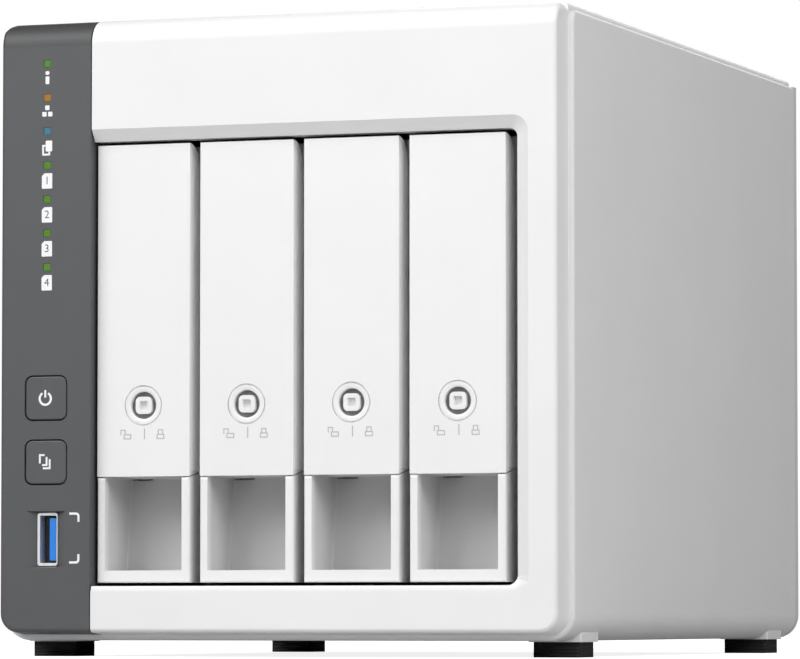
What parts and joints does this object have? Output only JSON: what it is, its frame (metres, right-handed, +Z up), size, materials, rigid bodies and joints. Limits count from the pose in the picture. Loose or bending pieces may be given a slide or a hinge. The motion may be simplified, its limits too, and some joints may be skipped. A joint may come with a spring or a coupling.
{
  "type": "network attached storage",
  "caption": "Desktop network storage box with slide-out drive trays, grey control panel, rear fan and rear sockets.",
  "frame": {"origin": "on the floor under the middle of the bounding box", "axes": "+X to the right seen from the front, +Y to the rear, +Z up; the front faces -Y"},
  "size_m": [0.16, 0.219, 0.169],
  "materials": {
    "white_shell": "fine satin moulded texture",
    "white_front": "smooth satin moulded plastic",
    "white_tray": "smooth satin moulded plastic",
    "grey_panel": "fine satin moulded texture",
    "grey_keys": "fine satin moulded texture",
    "lock_plastic": "moulded, slightly glossy",
    "green_lens": "clear light guide, green when lit",
    "amber_lens": "clear light guide, amber when lit",
    "blue_lens": "clear light guide, blue when lit",
    "blue_tongue": "moulded blue insulator",
    "socket_steel": "nickel plated sheet",
    "black_plastic": "moulded black plastic",
    "sheet_steel": "zinc plated sheet",
    "rear_sheet": "fine powder coat",
    "screw_steel": "nickel plated",
    "foot_rubber": "moulded rubber",
    "board_green": "solder mask on glass fibre board",
    "chip_black": "moulded epoxy",
    "cast_aluminium": "cast and stamped",
    "sink_aluminium": "extruded",
    "pin_steel": "ground pin",
    "cell_steel": "nickel plated can"
  },
  "bodies": {
    "root": {"outer_cover": "white_shell", "base_plate": "white_shell", "rubber_feet": "foot_rubber", "front_bezel": "white_front", "control_panel": "grey_panel", "green_light_guides": "green_lens", "amber_light_guide": "amber_lens", "blue_light_guide": "blue_lens", "front_usb_shell": "socket_steel", "front_usb_tongue": "blue_tongue", "front_board": "board_green", "drive_cage": "sheet_steel", "tray_guides": "black_plastic", "backplane": "board_green", "drive_sockets": "black_plastic", "board_bracket": "sheet_steel", "board_posts": "screw_steel", "mainboard": "board_green", "board_chips": "chip_black", "heat_sink": "sink_aluminium", "coin_cell": "cell_steel", "lan_sockets": "socket_steel", "rear_usb_shells": "socket_steel", "rear_usb_tongues": "blue_tongue", "power_jack": "black_plastic", "reset_switch": "black_plastic", "rear_panel": "rear_sheet", "fan_frame": "black_plastic", "fan_screws": "screw_steel", "cover_screws": "screw_steel"},
    "power_button": {"power_button": "grey_keys"},
    "copy_button": {"copy_button": "grey_keys"},
    "reset_button": {"reset_button": "black_plastic"},
    "fan_rotor": {"fan_rotor": "black_plastic"},
    "tray_1": {"tray_1_frame": "white_tray", "tray_1_pin": "pin_steel", "drive_1_case": "cast_aluminium", "drive_1_board": "board_green"},
    "handle_1": {"tray_1_handle": "white_tray"},
    "lock_1": {"tray_1_lock": "lock_plastic"},
    "tray_2": {"tray_2_frame": "white_tray", "tray_2_pin": "pin_steel", "drive_2_case": "cast_aluminium", "drive_2_board": "board_green"},
    "handle_2": {"tray_2_handle": "white_tray"},
    "lock_2": {"tray_2_lock": "lock_plastic"},
    "tray_3": {"tray_3_frame": "white_tray", "tray_3_pin": "pin_steel", "drive_3_case": "cast_aluminium", "drive_3_board": "board_green"},
    "handle_3": {"tray_3_handle": "white_tray"},
    "lock_3": {"tray_3_lock": "lock_plastic"},
    "tray_4": {"tray_4_frame": "white_tray", "tray_4_pin": "pin_steel", "drive_4_case": "cast_aluminium", "drive_4_board": "board_green"},
    "handle_4": {"tray_4_handle": "white_tray"},
    "lock_4": {"tray_4_lock": "lock_plastic"}
  },
  "joints": [
    {"name": "tray_1_slide", "type": "slide", "parent": "root", "child": "tray_1", "axis": [0, -1, 0], "range_m": [0, 0.195]},
    {"name": "handle_1_hinge", "type": "hinge", "parent": "tray_1", "child": "handle_1", "pos_m": [-0.03795, -0.1035, 0.1277], "axis": [-1, 0, 0], "range_deg": [0, 50]},
    {"name": "lock_1_turn", "type": "hinge", "parent": "handle_1", "child": "lock_1", "pos_m": [-0.03795, -0.1055, 0.0662], "axis": [0, 1, 0], "range_deg": [0, 90]},
    {"name": "tray_2_slide", "type": "slide", "parent": "root", "child": "tray_2", "axis": [0, -1, 0], "range_m": [0, 0.195]},
    {"name": "handle_2_hinge", "type": "hinge", "parent": "tray_2", "child": "handle_2", "pos_m": [-0.00863, -0.1035, 0.1277], "axis": [-1, 0, 0], "range_deg": [0, 50]},
    {"name": "lock_2_turn", "type": "hinge", "parent": "handle_2", "child": "lock_2", "pos_m": [-0.00863, -0.1055, 0.0662], "axis": [0, 1, 0], "range_deg": [0, 90]},
    {"name": "tray_3_slide", "type": "slide", "parent": "root", "child": "tray_3", "axis": [0, -1, 0], "range_m": [0, 0.195]},
    {"name": "handle_3_hinge", "type": "hinge", "parent": "tray_3", "child": "handle_3", "pos_m": [0.02069, -0.1035, 0.1277], "axis": [-1, 0, 0], "range_deg": [0, 50]},
    {"name": "lock_3_turn", "type": "hinge", "parent": "handle_3", "child": "lock_3", "pos_m": [0.02069, -0.1055, 0.0662], "axis": [0, 1, 0], "range_deg": [0, 90]},
    {"name": "tray_4_slide", "type": "slide", "parent": "root", "child": "tray_4", "axis": [0, -1, 0], "range_m": [0, 0.195]},
    {"name": "handle_4_hinge", "type": "hinge", "parent": "tray_4", "child": "handle_4", "pos_m": [0.05001, -0.1035, 0.1277], "axis": [-1, 0, 0], "range_deg": [0, 50]},
    {"name": "lock_4_turn", "type": "hinge", "parent": "handle_4", "child": "lock_4", "pos_m": [0.05001, -0.1055, 0.0662], "axis": [0, 1, 0], "range_deg": [0, 90]},
    {"name": "power_button_press", "type": "slide", "parent": "root", "child": "power_button", "axis": [0, 1, 0], "range_m": [0, 0.001], "stiffness_N_per_m": 1200, "springref_m": -0.0005},
    {"name": "copy_button_press", "type": "slide", "parent": "root", "child": "copy_button", "axis": [0, 1, 0], "range_m": [0, 0.001], "stiffness_N_per_m": 1200, "springref_m": -0.0005},
    {"name": "reset_button_press", "type": "slide", "parent": "root", "child": "reset_button", "axis": [0, -1, 0], "range_m": [0, 0.0005], "stiffness_N_per_m": 1500, "springref_m": -0.0003},
    {"name": "fan_spin", "type": "hinge", "parent": "root", "child": "fan_rotor", "pos_m": [0.009, 0.0925, 0.078], "axis": [0, 1, 0], "continuous": true}
  ]
}
